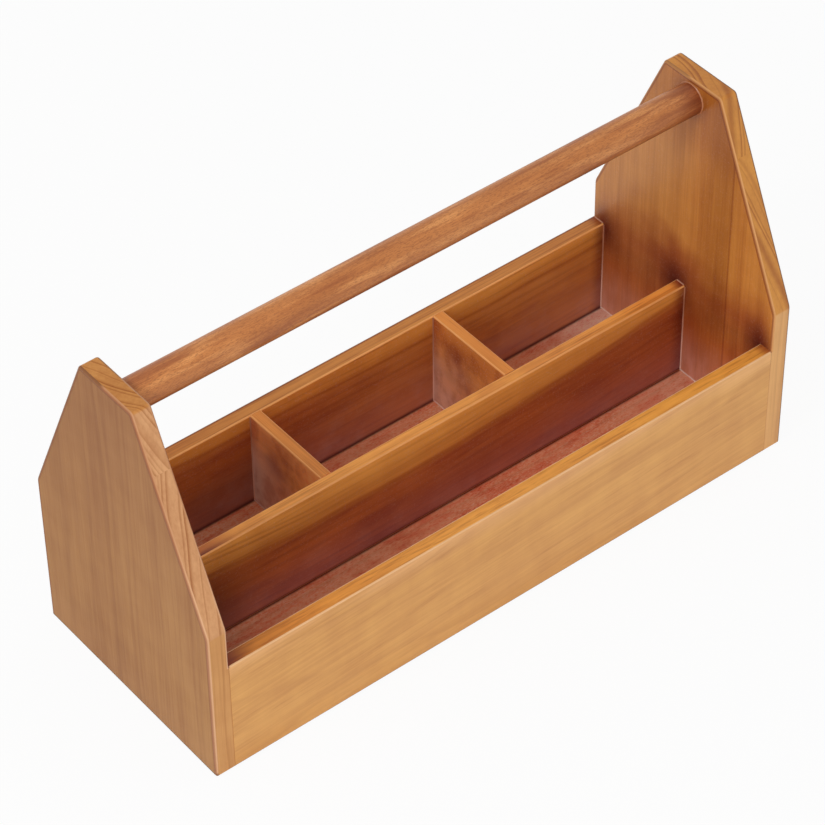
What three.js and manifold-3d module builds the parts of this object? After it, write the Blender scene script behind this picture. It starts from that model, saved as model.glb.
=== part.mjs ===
// Barbecue caddy: a wooden carrier for grill tools, plates and sauce bottles.
// Two gabled end panels hold a round handle rod between them. A front board, a back board and
// a full-length divider run from panel to panel, and two cross dividers part the rear half, so
// there is one long front compartment and three rear ones. A thin bottom panel lies in grooves.
// Everything is glued up on blind wooden pins, so no fastener shows outside.
// Millimetres. X runs along the handle, -Y is the front, Z is up. The origin lies under the
// middle of the caddy, on the surface that it stands on.

import * as THREE from 'three';
import { mergeVertices } from 'three/addons/utils/BufferGeometryUtils.js';
import Module from 'manifold-3d';

const wasm = await Module();
wasm.setup();

// Overall size, over the end panels and over the front and back boards
const LENGTH = 457;
const DEPTH = 173;
const HEIGHT = 254;

// End panels: upright sides up to the shoulders, then slanted edges up to a narrow flat top
const PANEL_THICKNESS = 14;
const SHOULDER_HEIGHT = 118.5;
const PEAK_WIDTH = 51.5;
const CORNER_RADIUS = 2;
const PANEL_EASE = 1.5;

// Boards and dividers, whose top edges all lie level
const BOARD_TOP = 87.5;
const WALL_THICKNESS = 10.5;
const DIVIDER_THICKNESS = 8.5;
const DIVIDER_OFFSET = 0;
const CROSS_SPACING = 147;
const BOARD_EASE = 0.9;

// Bottom panel and the groove that holds its edges
const BOTTOM_THICKNESS = 6;
const BOTTOM_RECESS = 7.5;
const GROOVE_DEPTH = 5;

// Handle rod, glued into a blind socket in each end panel
const ROD_DIAMETER = 21.5;
const ROD_COVER = 3.6;
const SOCKET_DEPTH = 7;
const ROD_CHAMFER = 1;

// Wooden pins: their sizes, how deep they sit in a board's end, and the wood left round them
const WALL_PIN_DIAMETER = 6;
const DIVIDER_PIN_DIAMETER = 5;
const PIN_DEPTH_IN_END = 20;
const PIN_INSET = 17;
const PIN_CHAMFER = 0.6;
const BLIND_SKIN = 3.5;

// Clearances: a butt joint's glue line, a piece in its bore or groove, and a pin's end
const GLUE_LINE = 0.1;
const FIT = 0.3;
const END_PLAY = 0.5;

// Facets round a corner, a pin and the rod
const CORNER_STEPS = 3;
const PIN_SIDES = 12;
const ROD_SIDES = 48;

// Places that several pieces share
const panelInnerX = LENGTH / 2 - PANEL_THICKNESS;
const panelCentreX = LENGTH / 2 - PANEL_THICKNESS / 2;
const boardLength = 2 * (panelInnerX - GLUE_LINE);
const wallInnerY = DEPTH / 2 - WALL_THICKNESS;
const wallCentreY = DEPTH / 2 - WALL_THICKNESS / 2;
const dividerBackY = DIVIDER_OFFSET + DIVIDER_THICKNESS / 2;
const floorTop = BOTTOM_RECESS + BOTTOM_THICKNESS;
const dividerFoot = floorTop + GLUE_LINE;
const rodRadius = ROD_DIAMETER / 2;
const rodHeight = HEIGHT - ROD_COVER - rodRadius;
const grooveReach = GROOVE_DEPTH - FIT;

const wood = (color, roughness) => new THREE.MeshStandardMaterial({ color, roughness, metalness: 0 });
const materials = {
  panel: wood(0xb9855a, 0.42),
  board: wood(0xcf9a60, 0.42),
  divider: wood(0xbd7c42, 0.42),
  bottom: wood(0xa0603a, 0.5),
  rod: wood(0x9c5534, 0.4),
  pin: wood(0xd9bf94, 0.7),
};

// A manifold solid of a closed three.js geometry
function solidOf(geometry) {
  const bare = geometry.clone();
  bare.deleteAttribute('normal');
  bare.deleteAttribute('uv');
  const merged = mergeVertices(bare);
  return new wasm.Manifold(new wasm.Mesh({
    numProp: 3,
    vertProperties: new Float32Array(merged.attributes.position.array),
    triVerts: new Uint32Array(merged.index.array),
  }));
}

// The blank with the added strips joined on, and then every cutter taken out of it
function carve(blank, cutters, strips) {
  const whole = strips.reduce((rest, strip) => rest.add(solidOf(strip)), solidOf(blank));
  const body = cutters.reduce((rest, cutter) => rest.subtract(solidOf(cutter)), whole);
  const { vertProperties, triVerts } = body.getMesh();
  const geometry = new THREE.BufferGeometry();
  geometry.setAttribute('position', new THREE.BufferAttribute(vertProperties, 3));
  geometry.setIndex(new THREE.BufferAttribute(triVerts, 1));
  geometry.computeVertexNormals();
  return geometry;
}

// A closed outline through the corners, each one rounded
function roundedOutline(corners, radius) {
  const outline = new THREE.Shape();
  corners.forEach((corner, i) => {
    const before = corners.at(i - 1);
    const after = corners[(i + 1) % corners.length];
    const toBefore = before.clone().sub(corner).normalize();
    const toAfter = after.clone().sub(corner).normalize();
    const setback = radius / Math.tan(toBefore.angleTo(toAfter) / 2);
    const start = corner.clone().addScaledVector(toBefore, setback);
    const end = corner.clone().addScaledVector(toAfter, setback);
    if (i === 0) outline.moveTo(start.x, start.y);
    else outline.lineTo(start.x, start.y);
    outline.quadraticCurveTo(corner.x, corner.y, end.x, end.y);
  });
  outline.closePath();
  return outline;
}

// Turns a shape drawn in (Y, Z) and pushed out along the third axis so that this axis is X
const alongX = new THREE.Matrix4().makeBasis(
  new THREE.Vector3(0, 1, 0),
  new THREE.Vector3(0, 0, 1),
  new THREE.Vector3(1, 0, 0),
);

// An end panel's blank, centred on its own thickness, with all its edges eased
function panelBlank() {
  const corners = [
    new THREE.Vector2(-DEPTH / 2, 0),
    new THREE.Vector2(DEPTH / 2, 0),
    new THREE.Vector2(DEPTH / 2, SHOULDER_HEIGHT),
    new THREE.Vector2(PEAK_WIDTH / 2, HEIGHT),
    new THREE.Vector2(-PEAK_WIDTH / 2, HEIGHT),
    new THREE.Vector2(-DEPTH / 2, SHOULDER_HEIGHT),
  ];
  const straight = PANEL_THICKNESS - 2 * PANEL_EASE;
  const blank = new THREE.ExtrudeGeometry(roundedOutline(corners, CORNER_RADIUS), {
    depth: straight,
    curveSegments: CORNER_STEPS,
    bevelThickness: PANEL_EASE,
    bevelSize: PANEL_EASE,
    bevelOffset: -PANEL_EASE,
    bevelSegments: CORNER_STEPS,
  });
  return blank.translate(0, 0, -straight / 2).applyMatrix4(alongX);
}

// A board of the given section, centred on its middle, with its long edges eased
function boardBlank(length, thickness, height) {
  const corners = [
    new THREE.Vector2(-thickness / 2, -height / 2),
    new THREE.Vector2(thickness / 2, -height / 2),
    new THREE.Vector2(thickness / 2, height / 2),
    new THREE.Vector2(-thickness / 2, height / 2),
  ];
  const blank = new THREE.ExtrudeGeometry(roundedOutline(corners, BOARD_EASE), {
    depth: length,
    curveSegments: CORNER_STEPS,
    bevelEnabled: false,
  });
  return blank.translate(0, 0, -length / 2).applyMatrix4(alongX);
}

// A round bar with chamfered ends, centred on the origin along Y
function turnedBar(diameter, length, chamfer, sides) {
  const radius = diameter / 2;
  const half = length / 2;
  return new THREE.LatheGeometry([
    new THREE.Vector2(0, -half),
    new THREE.Vector2(radius - chamfer, -half),
    new THREE.Vector2(radius, -half + chamfer),
    new THREE.Vector2(radius, half - chamfer),
    new THREE.Vector2(radius - chamfer, half),
    new THREE.Vector2(0, half),
  ], sides);
}

// A blind pin joint. The pin crosses the joint face at a point, and runs along an axis: far into
// the end of the board that it holds, and less far into the carrier, as far as its skin allows.
function pinJoint(name, board, carrier, crossing, towardCarrier, diameter, carrierThickness) {
  const depthInCarrier = carrierThickness - BLIND_SKIN;
  const middleShift = (depthInCarrier - PIN_DEPTH_IN_END) / 2;
  return {
    name,
    board,
    carrier,
    diameter,
    holeLength: depthInCarrier + PIN_DEPTH_IN_END,
    middle: crossing.clone().addScaledVector(towardCarrier, middleShift),
    alongX: towardCarrier.x !== 0,
  };
}

const pinHeights = { low: floorTop + PIN_INSET, high: BOARD_TOP - PIN_INSET };
const ends = { left: -1, right: 1 };

// The pins at both ends of a board that runs from panel to panel
function panelPins(board, y, diameter) {
  return Object.entries(ends).flatMap(([end, side]) => (
    Object.entries(pinHeights).map(([level, z]) => pinJoint(
      `${board}_pin_${end}_${level}`,
      board,
      `${end}_end_panel`,
      new THREE.Vector3(side * panelInnerX, y, z),
      new THREE.Vector3(side, 0, 0),
      diameter,
      PANEL_THICKNESS,
    ))
  ));
}

// The pins at the front and the back end of each cross divider
function crossPins() {
  const seats = [
    { at: 'front', carrier: 'long_divider', y: dividerBackY, toward: -1, thickness: DIVIDER_THICKNESS },
    { at: 'back', carrier: 'back_board', y: wallInnerY, toward: 1, thickness: WALL_THICKNESS },
  ];
  return Object.entries(ends).flatMap(([end, side]) => seats.flatMap(seat => (
    Object.entries(pinHeights).map(([level, z]) => pinJoint(
      `cross_divider_${end}_pin_${seat.at}_${level}`,
      `cross_divider_${end}`,
      seat.carrier,
      new THREE.Vector3(side * CROSS_SPACING / 2, seat.y, z),
      new THREE.Vector3(0, seat.toward, 0),
      DIVIDER_PIN_DIAMETER,
      seat.thickness,
    ))
  )));
}

const pins = [
  ...panelPins('front_board', -wallCentreY, WALL_PIN_DIAMETER),
  ...panelPins('back_board', wallCentreY, WALL_PIN_DIAMETER),
  ...panelPins('long_divider', DIVIDER_OFFSET, DIVIDER_PIN_DIAMETER),
  ...crossPins(),
];

// The holes of every pin that enters the named piece, in the caddy's frame
function pinHoles(name) {
  return pins.filter(pin => pin.board === name || pin.carrier === name).map((pin) => {
    const radius = pin.diameter / 2 + FIT;
    const hole = new THREE.CylinderGeometry(radius, radius, pin.holeLength, PIN_SIDES);
    if (pin.alongX) hole.rotateZ(Math.PI / 2);
    return hole.translate(pin.middle.x, pin.middle.y, pin.middle.z);
  });
}

// The room for the bottom panel's edges, which cuts the grooves in panels and boards alike
function bottomRoom() {
  const length = 2 * (panelInnerX + GROOVE_DEPTH);
  const depth = 2 * (wallInnerY + GROOVE_DEPTH);
  const room = new THREE.BoxGeometry(length, depth, BOTTOM_THICKNESS + 2 * FIT);
  return room.translate(0, 0, floorTop - BOTTOM_THICKNESS / 2);
}

// The room for the rod, which cuts the blind sockets in both end panels
function rodRoom() {
  const radius = rodRadius + FIT;
  const room = new THREE.CylinderGeometry(radius, radius, 2 * (panelInnerX + SOCKET_DEPTH), ROD_SIDES);
  return room.rotateZ(Math.PI / 2).translate(0, 0, rodHeight);
}

const caddy = new THREE.Group();

// Adds a named piece at its place, with cutters and added strips given in the caddy's frame
function addPiece(name, blank, place, material, cutters = [], strips = []) {
  const moved = tools => tools.map(tool => tool.clone().translate(-place.x, -place.y, -place.z));
  const geometry = cutters.length ? carve(blank, moved(cutters), moved(strips)) : blank;
  const mesh = new THREE.Mesh(geometry, material);
  mesh.name = name;
  mesh.position.copy(place);
  caddy.add(mesh);
}

// The strip of an end panel that the boards butt against: it is only eased as the boards are, so
// that the joints are flush, and the panel's own wider easing starts above the boards
function flushStrip(side) {
  const thickness = 2 * PANEL_EASE;
  const strip = boardBlank(thickness, DEPTH, BOARD_TOP);
  return strip.translate(side * (panelInnerX + thickness / 2), 0, BOARD_TOP / 2);
}

function addEndPanels() {
  for (const [end, side] of Object.entries(ends)) {
    const name = `${end}_end_panel`;
    const place = new THREE.Vector3(side * panelCentreX, 0, 0);
    const cutters = [bottomRoom(), rodRoom(), ...pinHoles(name)];
    addPiece(name, panelBlank(), place, materials.panel, cutters, [flushStrip(side)]);
  }
}

function addWalls() {
  for (const [name, side] of [['front_board', -1], ['back_board', 1]]) {
    const blank = boardBlank(boardLength, WALL_THICKNESS, BOARD_TOP);
    const place = new THREE.Vector3(0, side * wallCentreY, BOARD_TOP / 2);
    addPiece(name, blank, place, materials.board, [bottomRoom(), ...pinHoles(name)]);
  }
}

function addDividers() {
  const height = BOARD_TOP - dividerFoot;
  const middle = dividerFoot + height / 2;
  const blank = boardBlank(boardLength, DIVIDER_THICKNESS, height);
  const place = new THREE.Vector3(0, DIVIDER_OFFSET, middle);
  addPiece('long_divider', blank, place, materials.divider, pinHoles('long_divider'));

  const crossLength = wallInnerY - dividerBackY - 2 * GLUE_LINE;
  for (const [end, side] of Object.entries(ends)) {
    const name = `cross_divider_${end}`;
    const crossBlank = boardBlank(crossLength, DIVIDER_THICKNESS, height).rotateZ(Math.PI / 2);
    const crossPlace = new THREE.Vector3(side * CROSS_SPACING / 2, (wallInnerY + dividerBackY) / 2, middle);
    addPiece(name, crossBlank, crossPlace, materials.divider, pinHoles(name));
  }
}

function addBottomPanel() {
  const length = 2 * (panelInnerX + grooveReach);
  const depth = 2 * (wallInnerY + grooveReach);
  const sheet = new THREE.BoxGeometry(length, depth, BOTTOM_THICKNESS);
  const place = new THREE.Vector3(0, 0, floorTop - BOTTOM_THICKNESS / 2);
  addPiece('bottom_panel', sheet, place, materials.bottom);
}

function addHandleRod() {
  const length = 2 * (panelInnerX + SOCKET_DEPTH - FIT);
  const rod = turnedBar(ROD_DIAMETER, length, ROD_CHAMFER, ROD_SIDES).rotateZ(Math.PI / 2);
  addPiece('handle_rod', rod, new THREE.Vector3(0, 0, rodHeight), materials.rod);
}

function addPins() {
  for (const pin of pins) {
    const bar = turnedBar(pin.diameter, pin.holeLength - 2 * END_PLAY, PIN_CHAMFER, PIN_SIDES);
    if (pin.alongX) bar.rotateZ(Math.PI / 2);
    addPiece(pin.name, bar, pin.middle, materials.pin);
  }
}

addEndPanels();
addWalls();
addDividers();
addBottomPanel();
addHandleRod();
addPins();

export default caddy;
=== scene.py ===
"""Barbecue caddy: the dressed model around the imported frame.

Lengths are in metres, in the caddy's frame: X along the handle rod, -Y the front, Z up.
"""
from math import pi, radians

import bpy
from mathutils import Matrix, Vector


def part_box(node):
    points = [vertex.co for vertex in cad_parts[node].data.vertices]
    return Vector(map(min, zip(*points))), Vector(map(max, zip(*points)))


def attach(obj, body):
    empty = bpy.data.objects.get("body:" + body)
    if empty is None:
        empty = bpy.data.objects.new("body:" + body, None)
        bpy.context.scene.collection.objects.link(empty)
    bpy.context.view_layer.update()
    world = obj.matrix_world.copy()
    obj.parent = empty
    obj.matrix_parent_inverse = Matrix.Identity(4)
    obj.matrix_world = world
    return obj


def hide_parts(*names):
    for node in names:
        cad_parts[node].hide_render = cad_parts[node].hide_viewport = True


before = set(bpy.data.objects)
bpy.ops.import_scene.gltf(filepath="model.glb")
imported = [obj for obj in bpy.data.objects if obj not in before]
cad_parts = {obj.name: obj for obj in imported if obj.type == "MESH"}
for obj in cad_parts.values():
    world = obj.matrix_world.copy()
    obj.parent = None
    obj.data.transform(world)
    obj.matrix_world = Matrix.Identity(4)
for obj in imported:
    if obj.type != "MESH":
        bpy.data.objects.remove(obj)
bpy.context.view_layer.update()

# The camera, as fitted to the caddy's straight edges in the photograph
VIEW_AZIMUTH = radians(-38.156)
VIEW_ELEVATION = radians(43.454)
VIEW_ROLL = radians(-0.748)
VIEW_TARGET = Vector((-0.0054, 0.0038, 0.100))
VIEW_DISTANCE = 2.1969
VIEW_WIDTH_PX = 825
VIEW_FOCAL_PX = 3542.7
SENSOR_WIDTH_MM = 36

# Shapes that a node's box doesn't give: the end panels' gable, the rounding of the arrises, the rod
# and the pins, the room round what sits in a groove or a bore, and the dried glue
SHOULDER_HEIGHT = 0.1185
PEAK_WIDTH = 0.0515
CORNER_ROUND = 0.002
PANEL_EASE = 0.0015
BOARD_EASE = 0.0009
END_EASE = 0.0002
ROUND_STEPS = 4
ROD_FACETS = 96
ROD_CHAMFER = 0.001
PIN_FACETS = 24
FIT = 0.0003
END_PLAY = 0.0005
BEAD_WIDTH = 0.0006
BEAD_SCOOP = 0.97 * BEAD_WIDTH
BEAD_PROFILE = 0.3
GLUE_FILL = 0.00008

# The modelling tolerance, the longest edge of a sliver that a cut leaves, and the sharpest arris
# that is shaded smooth
NEAR = 1e-5
SLIVER = 2e-6
SMOOTH_ANGLE = radians(35)

# The light and the dark of the stained wood, and the dust that is rubbed into it
AMBER, BROWN = (0.84, 0.37, 0.066), (0.58, 0.21, 0.034)
DUST = (0.70, 0.48, 0.42)
WHITE = (1.0, 1.0, 1.0)

# Across an end panel, along Y: the joint between two of its staves, and the painted shade over the
# long divider's end
STAVE_JOINT = -0.0425
SHADE_SMUDGE_PLACE = 0.010

# Along X: the painted shadow on top of the long divider and the paler patch low on its side, the dull
# stretch of the front compartment's walls and that of its floor, and the scar in the rod
TOP_SHADOW_PATCH = -0.172
PALE_SIDE_PATCH = -0.095
DULL_WALLS = 0.05
DULL_FLOOR = 0.07
SCAR_PLACE = 0.124

# Along Y and Z: the dark blotch on a cross divider
BLOTCH_Y, BLOTCH_Z = 0.050, 0.062

# How softly a change of stain ends at an arris
PAINT_EDGE = 0.0005

# The material slots of a piece: its faces, and its arrises, worn and with painted light and shade
FACES, ARRISES = 0, 1

# How a log is turned so that its grain runs along an axis of the caddy
GRAIN_TURNS = {"X": (0, 0, 0), "Y": (0, 0, -pi / 2), "Z": (0, pi / 2, 0)}

# The stage: the light from all round; the floor's size, how far it lies under the caddy, its own
# grey and how white it looks; the sine of the elevation up to which mirrors show the backdrop,
# and over which it fades
STUDIO_GREY = 0.62
FLOOR_SIZE = 14
FLOOR_DROP = 0.0005
FLOOR_GREY = 0.86
FLOOR_WHITENESS = 0.93
BACKDROP_TOP = 0.3
BACKDROP_FADE = 0.2

# The softboxes: place, the point that they face, width, height, and power in watts
SOFTBOXES = {
    "left": ((-1.5, -0.2, 1.25), (0, 0, 0.1), 0.6, 0.5, 10),
    "front": ((-0.5, -1.95, 0.3), (0, 0, 0.05), 1.4, 0.5, 7.2),
}

X_AXIS, Y_AXIS, Z_AXIS = Vector((1, 0, 0)), Vector((0, 1, 0)), Vector((0, 0, 1))


# Modelling helpers

def select_only(*objects):
    """Leaves just these objects selected, the first of them active."""
    bpy.ops.object.select_all(action="DESELECT")
    for obj in objects:
        obj.select_set(True)
    bpy.context.view_layer.objects.active = objects[0]


def add_block(name, low, high):
    """A block between two corners, with its place in its mesh."""
    bpy.ops.object.select_all(action="DESELECT")
    bpy.ops.mesh.primitive_cube_add(size=1, location=(low + high) / 2, scale=high - low)
    bpy.ops.object.transform_apply(location=True, rotation=True, scale=True)
    bpy.context.object.name = name
    return bpy.context.object


def add_bar(name, middle, axis, radius, length, facets):
    """A round bar along X or Y, with its place in its mesh."""
    bpy.ops.object.select_all(action="DESELECT")
    turn = axis.to_track_quat("Z", "Y").to_euler()
    bpy.ops.mesh.primitive_cylinder_add(
        vertices=facets, radius=radius, depth=length, location=middle, rotation=turn)
    bpy.ops.object.transform_apply(location=True, rotation=True, scale=True)
    bpy.context.object.name = name
    return bpy.context.object


def round_edges(obj, wanted, radius, steps=ROUND_STEPS, profile=0.5, slot=FACES):
    """Bevels the edges whose two end points pass the test, into faces of a material slot."""
    select_only(obj)
    mesh = obj.data
    while len(mesh.materials) <= slot:
        mesh.materials.append(None)
    bpy.context.tool_settings.mesh_select_mode = (False, True, False)
    for group in (mesh.vertices, mesh.edges, mesh.polygons):
        group.foreach_set("select", [False] * len(group))
    for edge in mesh.edges:
        edge.select = wanted(*(mesh.vertices[i].co for i in edge.vertices))
    bpy.ops.object.mode_set(mode="EDIT")
    bpy.ops.mesh.bevel(offset=radius, segments=steps, profile=profile, affect="EDGES", material=slot)
    bpy.ops.object.mode_set(mode="OBJECT")


def slice_off(obj, point, normal):
    """Saws away what lies beyond a plane, and closes the cut."""
    select_only(obj)
    bpy.ops.object.mode_set(mode="EDIT")
    bpy.ops.mesh.select_all(action="SELECT")
    bpy.ops.mesh.bisect(plane_co=point, plane_no=normal, use_fill=True, clear_outer=True)
    bpy.ops.object.mode_set(mode="OBJECT")


def combine(obj, tool, operation):
    """Cuts a tool out of a piece, or joins it on, and removes the tool and any slivers."""
    select_only(obj)
    bpy.ops.object.modifier_add(type="BOOLEAN")
    modifier = obj.modifiers[-1]
    modifier.operation = operation
    modifier.object = tool
    modifier.solver = "EXACT"
    bpy.ops.object.modifier_apply(modifier=modifier.name)
    bpy.data.objects.remove(tool)
    bpy.ops.object.mode_set(mode="EDIT")
    bpy.ops.mesh.select_all(action="SELECT")
    bpy.ops.mesh.remove_doubles(threshold=SLIVER)
    bpy.ops.mesh.dissolve_degenerate(threshold=SLIVER)
    bpy.ops.object.mode_set(mode="OBJECT")


def smooth(obj):
    """Smooth arrises between faces that stay flat."""
    select_only(obj)
    bpy.ops.object.shade_smooth_by_angle(angle=SMOOTH_ANGLE)
    bpy.ops.object.modifier_add(type="WEIGHTED_NORMAL")
    modifier = obj.modifiers[-1]
    modifier.keep_sharp = True
    bpy.ops.object.modifier_apply(modifier=modifier.name)


def same(a, b):
    """Whether two values are alike, to within the modelling tolerance."""
    return abs(a - b) < NEAR


def lies_along_x(a, b):
    """Whether an edge between two points runs along X."""
    return same(a.y, b.y) and same(a.z, b.z)


# The frame's sizes

left_high = Vector(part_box("left_end_panel")[1])
right_low, right_high = map(Vector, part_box("right_end_panel"))
front_high = Vector(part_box("front_board")[1])
sheet_low, sheet_high = map(Vector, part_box("bottom_panel"))
rod_low, rod_high = map(Vector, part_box("handle_rod"))
back_low, back_high = map(Vector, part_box("back_board"))
divider_low, divider_high = map(Vector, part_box("long_divider"))
board_top = front_high.z
floor_top = sheet_high.z
rod_radius = (rod_high.z - rod_low.z) / 2
rod_middle = (rod_low + rod_high) / 2
PIN_NODES = [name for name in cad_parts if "_pin_" in name]


def find_compartments():
    """The lowest and highest corners of each compartment."""
    cross_boxes = [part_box(f"cross_divider_{side}") for side in ("left", "right")]
    walls = [left_high.x, *(x for low, high in cross_boxes for x in (low[0], high[0])), right_low.x]
    low = Vector((left_high.x, front_high.y, floor_top))
    found = {"front": (low, Vector((right_low.x, divider_low.y, board_top)))}
    for i, name in enumerate(("rear_left", "rear_middle", "rear_right")):
        low = Vector((walls[2 * i], divider_high.y, floor_top))
        found[name] = low, Vector((walls[2 * i + 1], back_low.y, board_top))
    return found


compartments = find_compartments()


# Cutters for the joints

def cut_sheet_room(piece):
    """Cuts the groove that holds the bottom panel's edge."""
    room = Vector((FIT, FIT, FIT))
    combine(piece, add_block("groove", sheet_low - room, sheet_high + room), "DIFFERENCE")


def cut_rod_room(piece):
    """Cuts the blind socket that holds the rod's end."""
    length = rod_high.x - rod_low.x + 2 * FIT
    tool = add_bar("socket", rod_middle, X_AXIS, rod_radius + FIT, length, ROD_FACETS)
    combine(piece, tool, "DIFFERENCE")


def cut_pin_rooms(piece, node):
    """Cuts the holes of all pins whose boxes reach into this node's box."""
    low, high = map(Vector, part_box(node))
    for pin in PIN_NODES:
        pin_low, pin_high = map(Vector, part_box(pin))
        if any(pin_high[i] < low[i] or pin_low[i] > high[i] for i in range(3)):
            continue
        size = pin_high - pin_low
        axis = X_AXIS if size.x > size.y else Y_AXIS
        tool = add_bar("hole", (pin_low + pin_high) / 2, axis, size.z / 2 + FIT,
                       max(size) + 2 * END_PLAY, PIN_FACETS)
        combine(piece, tool, "DIFFERENCE")


# The pieces

def make_end_panel(name, node):
    """A gabled end panel, eased all round. The strip that the boards butt against is only eased as
    they are, so that the joints are flush."""
    low, high = map(Vector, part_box(node))
    panel = add_block(name, low, high)
    outer_x = low.x if low.x < 0 else high.x
    inner_x = high.x if low.x < 0 else low.x
    rise = high.z - SHOULDER_HEIGHT
    for side in (-1, 1):
        shoulder = Vector((0, side * high.y, SHOULDER_HEIGHT))
        run = high.y - PEAK_WIDTH / 2
        slice_off(panel, shoulder, Vector((0, side * rise, run)).normalized())
    round_edges(panel, lambda a, b: lies_along_x(a, b) and a.z > low.z + NEAR, CORNER_ROUND)
    round_edges(panel, lambda a, b: lies_along_x(a, b) and same(a.z, low.z), BOARD_EASE)
    round_edges(panel, lambda a, b: same(a.x, b.x), PANEL_EASE, slot=ARRISES)
    depth = 2 * PANEL_EASE * (1 if inner_x > outer_x else -1)
    strip_low = Vector((min(inner_x, inner_x - depth), low.y, low.z))
    strip = add_block("strip", strip_low, Vector((max(inner_x, inner_x - depth), high.y, board_top)))
    round_edges(strip, lies_along_x, BOARD_EASE, slot=ARRISES)
    combine(panel, strip, "UNION")
    cut_sheet_room(panel)
    cut_rod_room(panel)
    cut_pin_rooms(panel, node)
    smooth(panel)
    return panel


def make_board(name, node, grooved=False):
    """A board with eased long edges, whose square ends the glue joins to what they butt against."""
    low, high = map(Vector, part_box(node))
    along = 0 if high.x - low.x > high.y - low.y else 1
    low[along] -= GLUE_FILL
    high[along] += GLUE_FILL
    board = add_block(name, low, high)
    round_edges(board, lambda a, b: not same(a[along], b[along]), BOARD_EASE, slot=ARRISES)
    if grooved:
        cut_sheet_room(board)
    cut_pin_rooms(board, node)
    smooth(board)
    return board


def make_bottom_sheet():
    """The thin bottom panel, whose edges lie in the grooves."""
    sheet = add_block("base_sheet", sheet_low, sheet_high)
    round_edges(sheet, lambda a, b: True, END_EASE, steps=1)
    smooth(sheet)
    return sheet


def make_rod():
    """The handle rod, chamfered at both ends inside its sockets."""
    rod = add_bar("carry_rod", rod_middle, X_AXIS, rod_radius, rod_high.x - rod_low.x, ROD_FACETS)
    round_edges(rod, lambda a, b: same(a.x, b.x), ROD_CHAMFER, steps=1)
    smooth(rod)
    return rod


def add_bead(low, high, corner, along):
    """A hollow-faced bead of glue in a corner: a bar whose edge away from the corner is scooped."""
    bead = add_block("bead", low, high)
    across = [i for i in range(3) if i != along]

    def outer_edge(a, b):
        return all(same(a[i], b[i]) and not same(a[i], corner[i]) for i in across)

    round_edges(bead, outer_edge, BEAD_SCOOP, profile=BEAD_PROFILE)
    return bead


def join_beads(name, beads):
    """Makes one piece of several beads."""
    select_only(*beads)
    bpy.ops.object.join()
    beads[0].name = name
    smooth(beads[0])
    return beads[0]


def make_glue_seams(name, low, high):
    """The dried glue round the right-hand end of a compartment, between its lowest and highest
    corners: up both upright corners, and along the foot."""
    right, width = high.x, BEAD_WIDTH
    foot = add_bead(Vector((right - width, low.y, low.z)), Vector((right, high.y, low.z + width)),
                    Vector((right, 0, low.z)), 1)
    beads = [foot]
    for y, inward in ((low.y, width), (high.y, -width)):
        start = Vector((right - width, min(y, y + inward), low.z))
        end = Vector((right, max(y, y + inward), high.z - BOARD_EASE))
        beads.append(add_bead(start, end, Vector((right, y, 0)), 2))
    return join_beads(name, beads)


def make_top_seams():
    """The glue across the tops of the long divider and the back board, at their right ends."""
    beads = []
    for low, high in ((divider_low, divider_high), (back_low, back_high)):
        start = Vector((right_low.x - BEAD_WIDTH, low.y + BOARD_EASE, board_top))
        end = Vector((right_low.x, high.y - BOARD_EASE, board_top + BEAD_WIDTH))
        beads.append(add_bead(start, end, Vector((right_low.x, 0, board_top)), 1))
    return join_beads("top_glue_seams", beads)


def make_rod_collar(side, face_x, inward):
    """The ring of glue where the rod enters an end panel."""
    middle = Vector((face_x + inward * BEAD_WIDTH / 2, rod_middle.y, rod_middle.z))
    radius = rod_radius + BEAD_WIDTH
    collar = add_bar(f"{side}_rod_collar", middle, X_AXIS, radius, BEAD_WIDTH, ROD_FACETS)

    def outer_rim(a, b):
        return same(a.x, b.x) and not same(a.x, face_x)

    round_edges(collar, outer_rim, BEAD_SCOOP, profile=BEAD_PROFILE)
    tool = add_bar("hole", middle, X_AXIS, rod_radius + NEAR, 4 * BEAD_WIDTH, ROD_FACETS)
    combine(collar, tool, "DIFFERENCE")
    smooth(collar)
    return collar


# Materials

class Value:
    """A socket of a material, for plain arithmetic: each operator adds a Math node."""

    def __init__(self, graph, socket):
        self.graph = graph
        self.socket = socket

    def math(self, operation, *terms):
        return self.graph.node("ShaderNodeMath", {"operation": operation}, dict(enumerate(terms)))

    def __add__(self, other):
        if self.socket.type == "VECTOR":
            return self.graph.vector_math("ADD", self, (other, other, other))
        return self.math("ADD", self, other)

    def __radd__(self, other):
        return self.math("ADD", other, self)

    def __sub__(self, other):
        return self.math("SUBTRACT", self, other)

    def __rsub__(self, other):
        return self.math("SUBTRACT", other, self)

    def __mul__(self, other):
        return self.math("MULTIPLY", self, other)

    def __rmul__(self, other):
        return self.math("MULTIPLY", other, self)

    def __truediv__(self, other):
        return self.math("DIVIDE", self, other)

    def __rtruediv__(self, other):
        return self.math("DIVIDE", other, self)

    def __abs__(self):
        return self.math("ABSOLUTE", self)

    def fraction(self):
        return self.math("FRACT", self)

    def at_least(self, other):
        return self.math("MAXIMUM", self, other)

    def at_most(self, other):
        return self.math("MINIMUM", self, other)

    def is_below(self, other):
        return self.math("LESS_THAN", self, other)


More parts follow.
